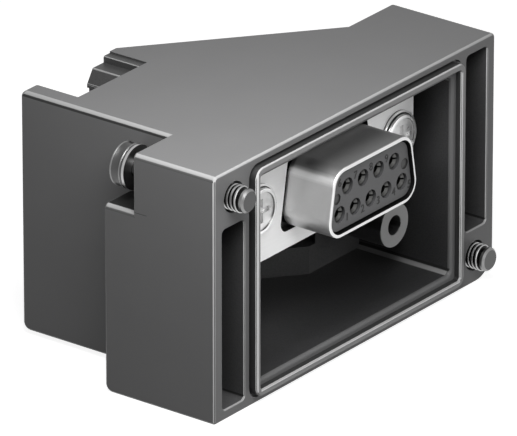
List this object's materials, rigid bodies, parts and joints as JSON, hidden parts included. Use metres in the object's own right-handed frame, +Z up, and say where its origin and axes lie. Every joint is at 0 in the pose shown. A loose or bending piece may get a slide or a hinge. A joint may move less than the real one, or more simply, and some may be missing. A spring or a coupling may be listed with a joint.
{
  "type": "d-sub socket",
  "caption": "D-sub socket in a grey connection housing that screws onto a module face with captive screws, with a seal round the socket and a cable gland.",
  "frame": {"origin": "centre of the front face that meets the module, midway between the two captive screws", "axes": "+X to the right along the front face seen from the module, +Y back into the housing, +Z up"},
  "size_m": [0.05, 0.0383, 0.0286],
  "materials": {
    "housing_grey": "fine satin moulded surface",
    "seal_rubber": "matte",
    "plate_steel": "bright, smooth",
    "shell_steel": "tin plated, satin",
    "insulator_grey": "matte",
    "contact_metal": "plated, smooth",
    "zinc_steel": "zinc plated",
    "screw_steel": "dull zinc plated",
    "ring_nylon": "natural nylon",
    "gland_black": "satin"
  },
  "bodies": {
    "housing": {"housing": "housing_grey", "face_seal": "seal_rubber", "mounting_plate": "plate_steel", "front_shell": "shell_steel", "rear_shell": "shell_steel", "insulator_front": "insulator_grey", "insulator_rear": "insulator_grey", "contact_1": "contact_metal", "contact_2": "contact_metal", "contact_3": "contact_metal", "contact_4": "contact_metal", "contact_5": "contact_metal", "contact_6": "contact_metal", "contact_7": "contact_metal", "contact_8": "contact_metal", "contact_9": "contact_metal", "flange_screw_left": "zinc_steel", "flange_screw_right": "zinc_steel", "flange_washer_left": "zinc_steel", "flange_washer_right": "zinc_steel", "retaining_ring_upper": "ring_nylon", "retaining_ring_lower": "ring_nylon", "cover_gasket": "seal_rubber", "rear_cover": "housing_grey", "cover_screws": "zinc_steel", "gland_body": "gland_black", "gland_lock_nut": "gland_black", "cable_seal": "seal_rubber"},
    "washer_upper": {"screw_washer_upper": "zinc_steel"},
    "screw_upper": {"captive_screw_upper": "screw_steel"},
    "washer_lower": {"screw_washer_lower": "zinc_steel"},
    "screw_lower": {"captive_screw_lower": "screw_steel"},
    "clamp_ring": {"clamp_ring": "ring_nylon"},
    "gland_nut": {"gland_nut": "gland_black"}
  },
  "joints": [
    {"name": "upper_screw_slide", "type": "slide", "parent": "housing", "child": "washer_upper", "axis": [0, -1, 0], "range_m": [-0.0021, 0.002]},
    {"name": "upper_screw_turn", "type": "hinge", "parent": "washer_upper", "child": "screw_upper", "pos_m": [-0.0216, 0, 0.011], "axis": [0, -1, 0], "continuous": true},
    {"name": "lower_screw_slide", "type": "slide", "parent": "housing", "child": "washer_lower", "axis": [0, -1, 0], "range_m": [-0.0021, 0.002]},
    {"name": "lower_screw_turn", "type": "hinge", "parent": "washer_lower", "child": "screw_lower", "pos_m": [0.0216, 0, -0.011], "axis": [0, -1, 0], "continuous": true},
    {"name": "clamp_ring_slide", "type": "slide", "parent": "housing", "child": "clamp_ring", "axis": [0.6352, 0.7724, 0], "range_m": [0, 0.002]},
    {"name": "gland_nut_turn", "type": "hinge", "parent": "clamp_ring", "child": "gland_nut", "pos_m": [0.00685, 0.0218, 0], "axis": [0.6352, 0.7724, 0], "range_deg": [0, 480]}
  ],
  "couplings": [
    {"joint": "gland_nut_turn", "follows": "clamp_ring_slide", "rad_per_m": 4188.8}
  ]
}
